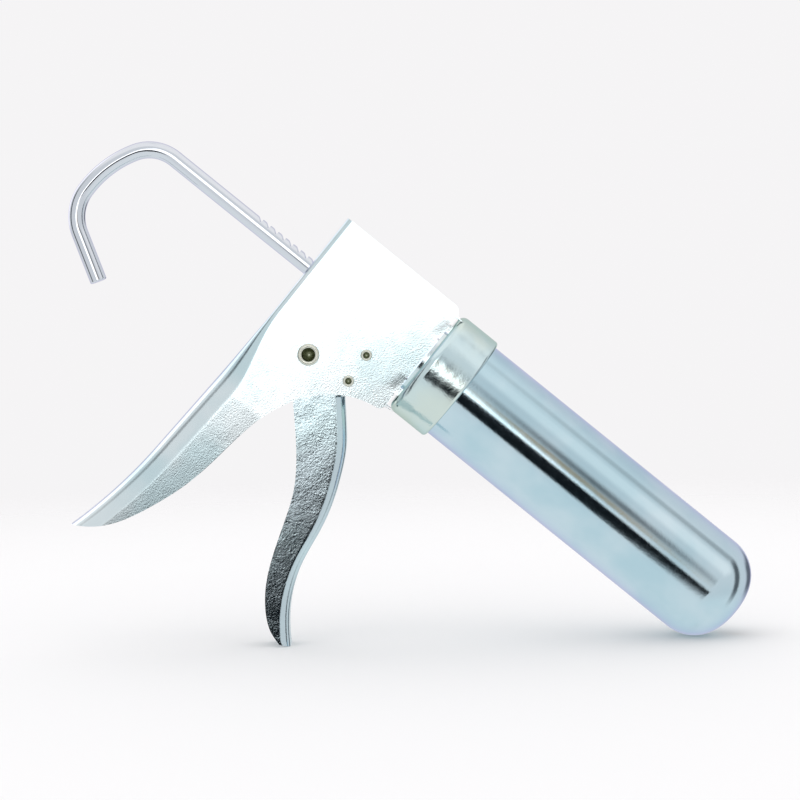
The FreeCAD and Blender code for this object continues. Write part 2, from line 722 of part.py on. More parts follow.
def pawl(label, place, gap):
    """A hardened dog on a cross pin, whose nose leans forward under the rod."""
    body = new_body(label)
    tip = pawl_tip(place, gap)
    lean = (tip - place).normalize()
    side = Vector(lean.z, 0, -lean.x)
    hub = size("pawl_hub") / 2
    nose = [tip, tip - Vector(3.4, 0, 1.6), place - side * (hub - 2.0) + lean * 2,
            place - side * (hub - 1.4) - lean * 1.5, place + side * (hub - 1.4) - lean,
            place + side * (hub - 1.6) + lean * 4, tip + side * 0.2 - lean * 2.2]
    blade = new_sketch(body, "blade_outline")
    chain(blade, *([(nose[n].x, nose[n].z), (nose[(n + 1) % len(nose)].x, nose[(n + 1) % len(nose)].z)]
                   for n in range(len(nose))))
    both_sides(feature(body, "Pad", "blade", blade), "pawl_width")
    ring = new_sketch(body, "hub_outline")
    ring.addGeometry(Part.Circle(Vector(place.x, place.z, 0), Vector(0, 0, 1), hub - 1.0), False)
    both_sides(feature(body, "Pad", "hub", ring), "pawl_width")
    bore = new_sketch(body, "bore_outline")
    radius = size("rivet_shank") / 2 + size("pin_play")
    bore.addGeometry(Part.Circle(Vector(place.x, place.z, 0), Vector(0, 0, 1), radius), False)
    through_all(feature(body, "Pocket", "bore", bore))
    return tip


def arcs_between(start, start_way, end, end_way):
    """Two arcs that leave a point one way and reach another point another way, in line."""
    gap, both = end - start, start_way + end_way
    bend = 2 * (1 - start_way.dot(end_way))
    reach = (math.sqrt(gap.dot(both) ** 2 + bend * gap.dot(gap)) - gap.dot(both)) / bend
    middle = (start + end + (start_way - end_way) * reach) / 2
    arcs = []
    for near, way, far in ((start, start_way, middle), (end, -end_way, middle)):
        chord = far - near
        inward = (chord - way * chord.dot(way)).normalize()
        centre = near + inward * (chord.dot(chord) / (2 * inward.dot(chord)))
        halfway = centre + ((near + far) / 2 - centre).normalize() * (near - centre).Length
        arcs.append((near, halfway, far))
    (first, first_half, joint), (last, last_half, _) = arcs
    return [Part.Arc(first, first_half, joint), Part.Arc(joint, last_half, last)]


def torsion_spring(label, centre, radius, wire, turns, start, end, legs, side):
    """A torsion spring across the gun, wound clockwise as seen from -Y, with straight legs in
    line with its wire.  Its coil is arcs, two to each sixth of a turn.  Angles are in degrees
    from +X to +Z, legs are the first and the last length, and side is where it starts in Y."""
    sweep = 360.0 * turns + (start - end) % 360.0
    spans = math.ceil(sweep / 60.0)
    pitch = wire * 1.12
    rise = pitch / (2 * math.pi * radius)

    def place(share):
        angle = math.radians(start - sweep * share)
        spot = Vector(radius * math.cos(angle), side + pitch * sweep / 360.0 * share,
                      radius * math.sin(angle))
        return centre + spot, Vector(math.sin(angle), rise, -math.cos(angle)).normalize()
    first, first_way = place(0.0)
    last, last_way = place(1.0)
    path = [Part.LineSegment(first - first_way * legs[0], first)]
    for n in range(spans):
        path += arcs_between(*place(n / spans), *place((n + 1) / spans))
    path.append(Part.LineSegment(last, last + last_way * legs[1]))
    section = Part.Wire([Part.Circle(path[0].StartPoint, first_way, wire / 2).toShape()])
    spring = doc.addObject("Part::Feature", label)
    spring.Label = label
    spring.Shape = Part.Wire([piece.toShape() for piece in path]).makePipe(Part.Face(section))
    PIECES.append(spring)


def rest_angle(centre, radius, wire, support, support_radius):
    """Where a straight leg leaves the coil so that it runs just past a round support."""
    offset = support - centre
    distance = math.hypot(offset.x, offset.z)
    bearing = math.degrees(math.atan2(offset.z, offset.x))
    clear = support_radius + wire / 2 + size("spring_play")
    return bearing + math.degrees(math.acos((radius - clear) / distance))


def springs():
    wire = size("return_spring_wire")
    radius = size("pivot_sleeve") / 2 + size("spring_play") + wire / 2
    turns = int(size("return_spring_turns"))
    level = PIVOT.z - radius
    front = smooth_curve(TRIGGER_FRONT)
    web = min((front.value(front.FirstParameter + share / 200.0
                           * (front.LastParameter - front.FirstParameter)) for share in range(60)),
              key=lambda p: abs(p.y - level)).x - 1.6 * size("trigger_gauge")
    forward = web - size("spring_play") - PIVOT.x
    back = PIVOT.x + size("head_length") - size("sheet_gauge") - 2 * size("spring_play")
    torsion_spring("trigger_return_spring", PIVOT, radius, wire, turns, 270.0, 270.0,
                   (forward, back), -wire * 1.12 * turns / 2)
    thin = size("pawl_spring_wire")
    coil = size("pawl_spacer") / 2 + size("spring_play") + thin / 2
    start = size("pawl_width") / 2 + size("spring_play") + thin / 2
    for label, place, gap, support, support_radius, drop in (
            ("drive_pawl_spring", DRIVE, drive_gap(), PIVOT, size("pivot_sleeve") / 2, 19.0),
            ("holding_pawl_spring", HOLD, size("pawl_rod_gap"), STOP, size("stop_spacer") / 2, 16.0)):
        tip = pawl_tip(place, gap)
        lean = math.degrees(math.atan2(tip.z - place.z, tip.x - place.x))
        torsion_spring(label, place, coil, thin, int(size("pawl_spring_turns")), lean - 90.0,
                       rest_angle(place, coil, thin, support, support_radius), (8.0, drop), start)


def drive_gap():
    """The drive pawl's pin rises as it passes over the pivot; the gap at rest allows for it."""
    return size("pawl_rod_gap") + size("pawl_reach") * (1 - math.cos(HALF_SWING))


frame()
front_plate()
barrel_cap()
rod_guide()
barrel()
push_rod()
piston()
trigger()
round_parts()
pawl("drive_pawl", DRIVE, drive_gap())
pawl("holding_pawl", HOLD, size("pawl_rod_gap"))
springs()
doc.recompute()

# ------------------------------------------------- the stance, then the checks and files
tip = Vector(TRIGGER_FRONT[-1][0], 0, TRIGGER_FRONT[-1][1])
nose_centre = Vector(total(NOSE_END) - size("nose_radius"), 0,
                     size("nose_radius") - size("barrel_diameter") / 2)
reach = nose_centre - tip
stance = math.degrees(math.atan2(reach.z, reach.x) - math.asin(size("nose_radius") / reach.Length))
turned = Placement(Vector(), Rotation(Vector(0, 1, 0), stance))
box = FreeCAD.BoundBox()
for piece in PIECES:
    moved = piece.Shape.copy()
    moved.Placement = turned.multiply(moved.Placement)
    box.add(moved.optimalBoundingBox(False, False))
standing = Placement(Vector(-box.Center.x, 0, -box.ZMin), Rotation()).multiply(turned)
for piece in PIECES:
    piece.Placement = standing.multiply(piece.Placement)
doc.recompute()

for item in doc.Objects:
    if "Invalid" in item.State or "Error" in item.State:
        raise RuntimeError(f"{item.Label} failed: {item.State}")
os.makedirs("parts", exist_ok=True)
for piece in PIECES:
    if piece.Shape.isNull() or not piece.Shape.isValid() or not piece.Shape.Solids:
        raise RuntimeError(f"{piece.Label} has no valid solid")
    piece.Shape.exportStep(f"parts/{piece.Label}.step")
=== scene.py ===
"""Looks of a plated steel caulking gun, built around its CAD model.

Pieces are drawn in the gun's own frame, in metres: X runs forward along the barrel's axis from
the head's front edge, Z points away from the handle, and Y is across the gun.
"""

import json
import math

import bmesh
import bpy
import numpy as np
from bpy.props import FloatProperty, FloatVectorProperty, IntProperty, PointerProperty
from mathutils import Matrix, Vector


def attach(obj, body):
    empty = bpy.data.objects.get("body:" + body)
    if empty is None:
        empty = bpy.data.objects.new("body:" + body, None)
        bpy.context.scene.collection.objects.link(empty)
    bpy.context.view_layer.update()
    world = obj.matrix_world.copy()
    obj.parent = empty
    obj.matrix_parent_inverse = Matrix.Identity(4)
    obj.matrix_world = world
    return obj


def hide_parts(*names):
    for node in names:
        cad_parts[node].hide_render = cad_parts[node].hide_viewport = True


bl_info = {
    "name": "Caulking Gun",
    "version": (1, 0, 0),
    "blender": (4, 5, 0),
    "location": "3D View > Sidebar > Caulking Gun",
    "description": "Builds the visible pieces, finishes and studio of a plated caulking gun",
    "category": "Add Mesh",
}

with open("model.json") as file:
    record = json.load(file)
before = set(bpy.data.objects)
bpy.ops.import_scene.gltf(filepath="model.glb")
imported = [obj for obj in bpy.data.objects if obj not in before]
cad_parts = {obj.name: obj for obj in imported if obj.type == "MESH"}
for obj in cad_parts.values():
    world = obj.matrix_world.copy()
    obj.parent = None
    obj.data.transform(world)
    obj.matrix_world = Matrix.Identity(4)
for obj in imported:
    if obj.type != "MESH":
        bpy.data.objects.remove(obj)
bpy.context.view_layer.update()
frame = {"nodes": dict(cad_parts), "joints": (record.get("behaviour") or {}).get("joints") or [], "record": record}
MM = 0.001
PIVOT = (-42.4, -31.5)  # the trigger's pivot, as (x, z) in millimetres


def gun_to_row():
    """The gun's own frame in the row frame, from the rod's slide and the trigger's pivot."""
    joints = {joint["name"]: joint for joint in frame["joints"]}
    forward, across = Vector(joints["rod_slide"]["axis"]), Vector((0, 1, 0))
    turn = Matrix((forward, across, forward.cross(across))).transposed()
    pivot = Vector((PIVOT[0], 0, PIVOT[1])) * MM
    shift = Vector(joints["trigger_squeeze"]["pos_m"]) - turn @ pivot
    return Matrix.Translation(shift) @ turn.to_4x4()


GUN = gun_to_row()


# ---------------------------------------------------------------------------- settings
def linear(code):
    """An sRGB hex colour as linear RGB."""
    parts = [int(code[n:n + 2], 16) / 255 for n in (1, 3, 5)]
    return [p / 12.92 if p <= 0.04045 else ((p + 0.055) / 1.055) ** 2.4 for p in parts]


def length(name, description, millimetres):
    return FloatProperty(name=name, description=description, default=millimetres * MM,
                         unit="LENGTH", precision=4)


def colour(name, description, code):
    return FloatVectorProperty(name=name, description=description, subtype="COLOR", size=3,
                               min=0, max=1, default=linear(code))


class GunSizes(bpy.types.PropertyGroup):
    """Sizes of the gun's pieces."""

    gauge: length("Sheet gauge", "Thickness of the folded sheet", 1.5)
    head_width: length("Head width", "Outside width of the head", 24.0)
    tip_width: length("Tip width", "Outside width of the handle at its tip", 20.0)
    head_length: length("Head length", "Front edge to rear face of the head", 67.6)
    head_top: length("Head top", "Height of the head above the barrel's axis", 29.0)
    head_bend: length("Head bend", "Outside radius of the head's rear bends", 2.6)
    barrel_radius: length("Barrel radius", "Outside radius of the barrel", 25.4)
    barrel_end: length("Barrel end", "Nose of the barrel, from the head's front edge", 187.55)
    nose_radius: length("Nose radius", "Rounding of the barrel's nose", 19.4)
    nozzle_radius: length("Nozzle hole radius", "Hole in the barrel's nose", 8.0)
    cap_radius: length("Cap radius", "Outside radius of the barrel's cap", 27.7)
    rod_radius: length("Rod radius", "Radius of the push rod", 3.95)
    tooth_pitch: length("Tooth pitch", "Spacing of the rod's ratchet teeth", 4.5)
    tooth_depth: length("Tooth depth", "Depth of the rod's ratchet teeth", 1.8)
    tooth_count: IntProperty(name="Teeth", description="Number of ratchet teeth", default=34,
                             min=1)
    trigger_width: length("Trigger width", "Outside width of the trigger", 20.0)
    trigger_bend: length("Trigger bend", "Outside radius of the trigger's front bends", 4.5)


class GunColours(bpy.types.PropertyGroup):
    """Colours of the gun's finishes, of the painted shade in its rivets and of the studio."""

    sheet: colour("Folded sheet", "Bright zinc plate, clear to blue passivate", "#E9F1F3")
    sheet_cool: colour("Folded sheet, cool", "Bluer patches of the passivate", "#D3E6EA")
    barrel: colour("Barrel", "Bright zinc plate, blue passivate", "#D0E2EA")
    barrel_cool: colour("Barrel, cool", "Bluer patches of the passivate", "#BFD9E3")
    violet: colour("Passivate edge", "Violet cast of the passivate seen edge on", "#EDE6FB")
    cap: colour("Barrel cap", "Bright zinc plate with a green-yellow cast", "#DCE6DF")
    rod: colour("Rod", "Zinc plate on drawn bar", "#DFE2E8")
    trigger: colour("Trigger", "Zinc plate over pressed sheet", "#CFDDE3")
    rivet: colour("Rivets", "Clinched plated steel", "#DCDCCF")
    # painted shade: this colour stands in for the shade inside the rivets' bores
    hollow_shade: colour("Rivet hollows", "Painted shade in the hollow rivets", "#A9AD98")
    turned: colour("Turned steel", "Sleeves, spacers and washers", "#B5B8BA")
    hardened: colour("Hardened steel", "Case hardened pawls", "#4A4C50")
    floor: colour("Floor", "Pale studio floor", "#F4F4F4")


# --------------------------------------------------------------------------- materials
def add(tree, kind, inputs=(), **settings):
    """Adds a node, with its settings, and its inputs as values or as sockets to link."""
    node = tree.nodes.new(kind)
    for key, value in settings.items():
        setattr(node, key, value)
    for key, value in dict(inputs).items():
        if isinstance(value, bpy.types.NodeSocket):
            tree.links.new(value, node.inputs[key])
        else:
            node.inputs[key].default_value = value
    return node


def rgba(colour_value):
    return (*colour_value, 1.0)


def per_metre(millimetres):
    """A texture scale whose features are this many millimetres."""
    return 1.0 / (millimetres * MM)


def noise(tree, where, millimetres, detail=2.0, roughness=0.5, distortion=0.0):
    return add(tree, "ShaderNodeTexNoise", {
        "Vector": where, "Scale": per_metre(millimetres), "Detail": detail,
        "Roughness": roughness, "Distortion": distortion}).outputs["Fac"]


def spread(tree, value, low, high, to_low=0.0, to_high=1.0):
    return add(tree, "ShaderNodeMapRange", {
        "Value": value, "From Min": low, "From Max": high,
        "To Min": to_low, "To Max": to_high}, interpolation_type="SMOOTHSTEP").outputs["Result"]


def mixed(tree, share, first, second):
    """Mixes two colours, each a value or a socket."""
    node = add(tree, "ShaderNodeMix", {"Factor": share}, data_type="RGBA")
    slots = [socket for socket in node.inputs if socket.type == "RGBA"]
    for slot, value in zip(slots, (first, second)):
        if isinstance(value, bpy.types.NodeSocket):
            tree.links.new(value, slot)
        else:
            slot.default_value = value
    return next(socket for socket in node.outputs if socket.type == "RGBA")


# millimetres: the passivate's patches, the spacing of draw lines, the depth of a full scuff and
# the soft edge of the painted shade in a hollow
PATCH_SIZE, DRAW_SPACING, SCUFF_DEPTH, HOLLOW_SHADE_EDGE = 34.0, 0.35, 0.02, 0.4


def metal(name, tint, cool, edge, roughness, grain, wave, drawn=0.0, scuffs=0.0, hollow=None):
    """A plated or bare metal whose surface was pressed, drawn or turned.

    roughness is its range, grain and wave are (size mm, slope) of the fine crystalline grain
    and of the broad unevenness that forming leaves, drawn is the slope of fine draw lines along
    X, scuffs is how much handling has marked it, and hollow is (colour, half width) of the painted
    shade put on what is nearer the gun's middle than that."""
    material = bpy.data.materials.new(name)
    material.use_nodes = True
    tree = material.node_tree
    tree.nodes.clear()
    where = add(tree, "ShaderNodeTexCoord").outputs["Object"]

    patches = spread(tree, noise(tree, where, PATCH_SIZE, 3.0), 0.35, 0.65)
    colour_now = mixed(tree, patches, rgba(tint), rgba(cool))
    # painted shade: what lies nearer the gun's middle, such as the rivets' bores, is darkened with the hollow
    # colour
    if hollow:
        axes = add(tree, "ShaderNodeSeparateXYZ", {"Vector": where}).outputs
        inward = add(tree, "ShaderNodeMath", {0: axes["Y"]}, operation="ABSOLUTE").outputs[0]
        dark, half_width = hollow
        hollow_shade_mask = spread(tree, inward, half_width, half_width - HOLLOW_SHADE_EDGE * MM)
        colour_now = mixed(tree, hollow_shade_mask, colour_now, rgba(dark))

    fine = noise(tree, where, grain[0], 4.0, 0.6)
    broad = noise(tree, where, wave[0], 1.5, 0.4)
    rough_mix = noise(tree, where, grain[0] * 5, 3.0)
    rough_now = spread(tree, rough_mix, 0.3, 0.7, roughness[0], roughness[1])

    # a bump's distance is twice its noise's height, which is slope * wavelength / 2 pi
    height_now = add(tree, "ShaderNodeBump", {
        "Strength": 1.0, "Distance": wave[0] * MM * wave[1], "Height": broad})
    height_now = add(tree, "ShaderNodeBump", {
        "Strength": 1.0, "Distance": grain[0] * MM * grain[1], "Height": fine,
        "Normal": height_now.outputs["Normal"]})
    if drawn:
        stretched = add(tree, "ShaderNodeMapping", {"Vector": where, "Scale": (0.02, 1.0, 1.0)})
        lines = noise(tree, stretched.outputs["Vector"], DRAW_SPACING, 2.0)
        height_now = add(tree, "ShaderNodeBump", {
            "Strength": 1.0, "Distance": DRAW_SPACING * MM * drawn, "Height": lines,
            "Normal": height_now.outputs["Normal"]})
    if scuffs:
        turned = add(tree, "ShaderNodeMapping", {
            "Vector": where, "Rotation": (0.4, 0.9, 0.2), "Scale": (1.0, 1.0, 0.05)})
        marks = spread(tree, noise(tree, turned.outputs["Vector"], 0.5, 1.0), 0.68, 0.72)
        thinned = add(tree, "ShaderNodeMath", {
            0: marks, 1: spread(tree, noise(tree, where, 9.0, 2.0), 0.45, 0.6)},
            operation="MULTIPLY").outputs[0]
        height_now = add(tree, "ShaderNodeBump", {
            "Strength": 1.0, "Distance": SCUFF_DEPTH * MM * scuffs, "Height": thinned,
            "Normal": height_now.outputs["Normal"]}, invert=True)

    shader = add(tree, "ShaderNodeBsdfPrincipled", {
        "Base Color": colour_now, "Metallic": 1.0, "Roughness": rough_now,
        "Specular Tint": rgba(edge), "Normal": height_now.outputs["Normal"]})
    add(tree, "ShaderNodeOutputMaterial", {"Surface": shader.outputs["BSDF"]})
    return material


FINISHES = {}


def finishes():
    """Makes every finish once, under the name of the record's material slot that it is for."""
    if FINISHES:
        return FINISHES
    c, sizes = bpy.context.scene.gun_colours, bpy.context.scene.gun_sizes
    FINISHES.update({
        # bright zinc plate on rolled sheet: nearly white, sparkling grain, soft reflections
        "zinc_plated_sheet": metal("bright_zinc_plated_sheet_blue_passivate", c.sheet,
                                   c.sheet_cool, c.violet, (0.09, 0.15), (0.7, 0.038), (9, 0.003),
                                   scuffs=0.15),
        # the same plate on a deep-pressed channel: smoother, so it mirrors, with open grain
        "zinc_plated_trigger": metal("bright_zinc_plated_pressing", c.trigger, c.sheet_cool,
                                     c.sheet, (0.04, 0.10), (0.8, 0.048), (9, 0.008), scuffs=0.6),
        # plate with a green-yellow cast on the spun cap, uneven where it was rolled
        "zinc_plated_cap": metal("bright_zinc_plated_spinning", c.cap, c.sheet_cool, c.cap,
                                 (0.07, 0.12), (0.8, 0.06), (8, 0.040)),
        # blue passivate on drawn tube: blue-grey, violet edge on, fine grain in its mirror line
        "zinc_plated_barrel": metal("blue_passivate_zinc_plated_drawn_tube", c.barrel,
                                    c.barrel_cool, c.violet, (0.05, 0.09), (0.7, 0.030),
                                    (14, 0.002), drawn=0.01),
        # plate on cold-drawn bar: the brightest finish, with fine lines along it
        "zinc_plated_bar": metal("bright_zinc_plated_drawn_bar", c.rod, c.rod, c.violet,
                                 (0.04, 0.07), (0.6, 0.008), (9, 0.004), drawn=0.01),
        # clinched rivets: warm grey, dulled by the setting tool, with painted shade in their hollows
        "rivet_steel": metal("clinched_plated_rivet_steel", c.rivet, c.rivet, c.rivet,
                             (0.20, 0.30), (0.4, 0.06), (2, 0.03),
                             hollow=(c.hollow_shade, sizes.head_width / 2)),
        # turned sleeves and washers: mid grey, satin
        "turned_steel": metal("turned_bright_steel", c.turned, c.turned, c.turned,
                              (0.22, 0.32), (0.5, 0.05), (5, 0.01)),
        # case-hardened pawls: dark grey, nearly matt
        "hardened_steel": metal("case_hardened_steel", c.hardened, c.hardened, c.hardened,
                                (0.35, 0.5), (0.5, 0.06), (4, 0.02)),
        # spring wire: mid grey with darker patches, satin
        "spring_wire": metal("drawn_spring_wire", c.turned, c.hardened, c.turned,
                             (0.25, 0.35), (0.5, 0.05), (4, 0.01)),
    })
    return FINISHES


# ------------------------------------------------------------------------ mesh helpers
class Shell:
    """Corners and faces of one piece in the gun's frame; corners at one place are shared."""

    def __init__(self):
        self.corners, self.faces, self.index = [], [], {}

    def corner(self, point):
        key = tuple(round(value, 8) for value in point)
        if key not in self.index:
            self.index[key] = len(self.corners)
            self.corners.append(key)
        return self.index[key]

    def loop(self, corners):
        """Adds a face through corners, without repeats, if three or more are left."""
        corners = list(dict.fromkeys(corners))
        if len(corners) > 2:
            self.faces.append(corners)

    def face(self, *points):
        self.loop(self.corner(point) for point in points)

    def mesh(self, name):
        """The shell as a mesh whose faces all face outwards."""
        mesh = bpy.data.meshes.new(name)
        mesh.from_pydata(self.corners, [], self.faces)
        work = bmesh.new()
        work.from_mesh(mesh)
        bmesh.ops.recalc_face_normals(work, faces=work.faces)
        work.to_mesh(mesh)
        work.free()
        return mesh

    def grid(self, rows, closed=False, present=None):
        """Joins rows of points with faces; present(row, column) leaves faces out."""
        for r in range(len(rows) - 1):
            columns = len(rows[r]) - (0 if closed else 1)
            for c in range(columns):
                if present is None or present(r, c):
                    d = (c + 1) % len(rows[r])
                    self.face(rows[r][c], rows[r + 1][c], rows[r + 1][d], rows[r][d])

    def thicken(self, outer, inner, present):
        """Two matching grids as the sides of one sheet, with its open edges closed."""
        first = len(self.faces)
        self.grid(outer, present=present)
        pair = {}
        for row_out, row_in in zip(outer, inner):
            for a, b in zip(row_out, row_in):
                pair.setdefault(self.corner(a), self.corner(b))
        sides = self.faces[first:]
        edges = dict.fromkeys(
            edge for side in sides for edge in zip(side, side[1:] + side[:1]))
        for side in sides:
            self.loop(pair[n] for n in reversed(side))
        for a, b in edges:
            if (b, a) not in edges:
                self.loop((b, a, pair[a], pair[b]))


def lathe(profile, steps, axis="X"):
    """Turns a closed profile of (place along the axis, radius) about X, or about Y."""
    shell = Shell()
    rows = []
    for n in range(steps + 1):
        angle = 2 * math.pi * (n % steps) / steps
        c, s = math.cos(angle), math.sin(angle)
        if axis == "X":
            rows.append([(a, r * c, r * s) for a, r in profile])
        else:
            rows.append([(r * s, a, r * c) for a, r in profile])
    shell.grid(rows, closed=True)
    return shell


def eased(points, radii, steps):
    """A closed outline with corners rounded: radii holds one radius for each corner."""
    outline = []
    for n, (point, radius) in enumerate(zip(points, radii)):
        here = Vector(point)
        before = Vector(points[n - 1]) - here
        after = (Vector(points[(n + 1) % len(points)]) - here)
        if radius <= 0:
            outline.append(tuple(here))
            continue
        before_way, after_way = before.normalized(), after.normalized()
        half = before_way.angle(after_way) / 2
        cut = radius / math.tan(half)
        centre = here + (before_way + after_way).normalized() * radius / math.sin(half)
        start, end = here + before_way * cut - centre, here + after_way * cut - centre
        turn = math.atan2(start.x * end.y - start.y * end.x, start.dot(end))
        for k in range(steps + 1):
            a = turn * k / steps
            outline.append((centre.x + start.x * math.cos(a) - start.y * math.sin(a),
                            centre.y + start.x * math.sin(a) + start.y * math.cos(a)))
    return outline


def curve_through(points, steps):
    """A natural cubic spline through points, as steps + 1 points even along each span."""
    p = np.array(points, float)
    t = np.concatenate([[0], np.cumsum(np.linalg.norm(np.diff(p, axis=0), axis=1))])
    n, h = len(p), np.diff(t)
    a, b = np.eye(n), np.zeros_like(p)
    for i in range(1, n - 1):
        a[i, i - 1:i + 2] = h[i - 1], 2 * (h[i - 1] + h[i]), h[i]
        b[i] = 6 * ((p[i + 1] - p[i]) / h[i] - (p[i] - p[i - 1]) / h[i - 1])
    m = np.linalg.solve(a, b)
    out = []
    for s in np.linspace(0, t[-1], steps + 1):
        i = min(int(np.searchsorted(t, s, side="right")) - 1, n - 2)
        u, v = s - t[i], t[i + 1] - s
        out.append((m[i] * v ** 3 + m[i + 1] * u ** 3) / (6 * h[i])
                   + (p[i] / h[i] - m[i] * h[i] / 6) * v
                   + (p[i + 1] / h[i] - m[i + 1] * h[i] / 6) * u)
    return [tuple(float(x) for x in q) for q in out]


def drilled(mesh, place, radius):
    """The mesh with a hole across the gun at this (x, z)."""
    reach = 30 * MM
    cutter_shell = lathe([(-reach, 0.0), (-reach, radius), (reach, radius), (reach, 0.0)], 48, "Y")
    cutter = bpy.data.objects.new("cutter", cutter_shell.mesh("cutter"))
    cutter.location = Vector((place[0], 0, place[1])) * MM
    blank = bpy.data.objects.new("blank", mesh)
    for thing in (cutter, blank):
        bpy.context.scene.collection.objects.link(thing)
    cut = blank.modifiers.new("hole", "BOOLEAN")
    cut.operation, cut.solver, cut.object = "DIFFERENCE", "EXACT", cutter
    bpy.context.view_layer.update()
    result = bpy.data.meshes.new_from_object(
        blank.evaluated_get(bpy.context.evaluated_depsgraph_get()))
    for thing in (cutter, blank):
        spare = thing.data
        bpy.data.objects.remove(thing)
        bpy.data.meshes.remove(spare)
    return result


def piece(name, shell, finish, body, nodes, sharp=32.0, bevel=0.0, centre=None, holes=()):
    """Makes one visible piece from a shell, rides it on its body and hides its CAD nodes."""
    mesh = shell.mesh(name)
    for place, radius in holes:
        mesh = drilled(mesh, place, radius)
    work = bmesh.new()
    work.from_mesh(mesh)
    bmesh.ops.recalc_face_normals(work, faces=work.faces)
    for edge in work.edges:
        edge.smooth = len(edge.link_faces) == 2 and edge.calc_face_angle(0) < math.radians(sharp)
    for face in work.faces:
        face.smooth = True
    work.to_mesh(mesh)
    work.free()
    thing = bpy.data.objects.new(name, mesh)
    bpy.context.scene.collection.objects.link(thing)
    thing.matrix_world = GUN @ (Matrix.Translation(centre) if centre else Matrix())
    if bevel:
        softened = thing.modifiers.new("softened_edges", "BEVEL")
        softened.width, softened.segments, softened.limit_method = bevel, 2, "ANGLE"
        softened.angle_limit = math.radians(sharp)
        softened.harden_normals = True
    weighted = thing.modifiers.new("flat_faces_stay_flat", "WEIGHTED_NORMAL")
    weighted.keep_sharp = True
    mesh.materials.append(finishes()[finish])
    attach(thing, body)
    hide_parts(*nodes)
    return thing


# each rivet's piece, CAD node, (x, z) and shank, head, bore, head height and bore depth
RIVETS = [
    ("pivot_rivet_set", "trigger_pivot_rivet", PIVOT, (4.0, 5.1, 3.15, 0.9, 9.0)),
    ("upper_rivet_set", "holding_pawl_rivet", (-21.4, -14.9), (2.0, 2.7, 1.45, 0.7, 4.0)),
    ("lower_rivet_set", "stop_rivet", (-20.4, -29.4), (2.0, 2.7, 1.45, 0.7, 4.0)),
]


# ----------------------------------------------------------------- frame: head and handle
UNDERSIDE = [(-3.3, -30.8), (-10.5, -32.5), (-20.9, -37.9), (-31.4, -48.2), (-39.7, -63.9),
             (-45.2, -91.0), (-48.1, -110.9), (-54.9, -131.8), (-67.9, -154.3), (-80.5, -164.0)]
# the staked tabs: height of the middle, half height, relief cut beside it and reach forward
TAB_MIDDLE, TAB_HALF, TAB_RELIEF, TAB_REACH = 16.2, 4.1, 0.9, 4.45
# the rod's hole: its radius, half the square field that is left for it and the field's cells
HOLE, HOLE_FIELD, HOLE_CELLS = 4.25, 6.0, 12
# the head's front corners: radius above, height and radius below
HEAD_CORNER, CHIN, CHIN_CORNER = 4.2, -27.5, 3.3
CORNER_STEPS, UNDERSIDE_STEPS, BEND_STEPS, SIDE_STEPS = 8, 170, 12, 25
PLAIN_ROWS = [9.5, 7.6, -7.6, -9.5, -23.4, -25.6]
# millimetres below the barrel's axis where the spine's rounding starts and ends, where its lean
# and its curl back start, and the length over which the handle tapers
ROUNDING_FROM, ROUND_FROM, LEAN_FROM, CURL_FROM, TAPER_LENGTH = 26.0, 68.0, 32.0, 110.0, 104.0
SPINE_FLAT, LEAN, CURL = 0.8, 0.045, 0.0021
DENT_DEPTH, DENT_LOWEST = 0.08, -26


def smooth_share(value, low, high):
    share = min(max((value - low) / (high - low), 0.0), 1.0)
    return share * share * (3 - 2 * share)


def grip_section(sizes, z):
    """Rear face, half width and bend radius of the channel at a height, in millimetres."""
    below, width, tip = -z, sizes.head_width / MM, sizes.tip_width / MM
    width += (tip - width) * max((below - ROUND_FROM) / TAPER_LENGTH, 0.0)
    share = smooth_share(below, ROUNDING_FROM, ROUND_FROM)
    bend = sizes.head_bend / MM * (1 - share) + (width / 2 - SPINE_FLAT) * share
    rear = -sizes.head_length / MM - LEAN * max(below - LEAN_FROM, 0.0)
    rear -= CURL * max(below - CURL_FROM, 0.0) ** 2
    return rear, width / 2, bend


def frame_rows(sizes):
    """Heights from the head's top to the handle's tip, each with the side's front end."""
    top = sizes.head_top / MM
    corner_angles = [math.radians(90 * n / CORNER_STEPS) for n in range(CORNER_STEPS + 1)]
    rows = [(top - HEAD_CORNER + HEAD_CORNER * math.cos(angle),
             -HEAD_CORNER + HEAD_CORNER * math.sin(angle)) for angle in corner_angles]
    half_field = [HOLE_FIELD * (1 - 2 * n / HOLE_CELLS) for n in range(HOLE_CELLS + 1)]
    tab = []
    for middle in (TAB_MIDDLE, -TAB_MIDDLE):
        up, down = middle + TAB_HALF, middle - TAB_HALF
        tab += [up + TAB_RELIEF, up, up - 1.4, middle, down + 1.4, down, down - TAB_RELIEF]
    rows += [(z, 0.0) for z in sorted(half_field + tab + PLAIN_ROWS, reverse=True)]
    rows += [(CHIN - CHIN_CORNER * math.sin(angle), -CHIN_CORNER * (1 - math.cos(angle)))
             for angle in corner_angles]
    for x, z in curve_through(UNDERSIDE, UNDERSIDE_STEPS)[1:]:
        if x <= grip_section(sizes, z)[0] + 0.02:
            break
        rows.append((z, x))
    rows.append((rows[-1][0] - 0.05, grip_section(sizes, rows[-1][0] - 0.05)[0]))
    return rows


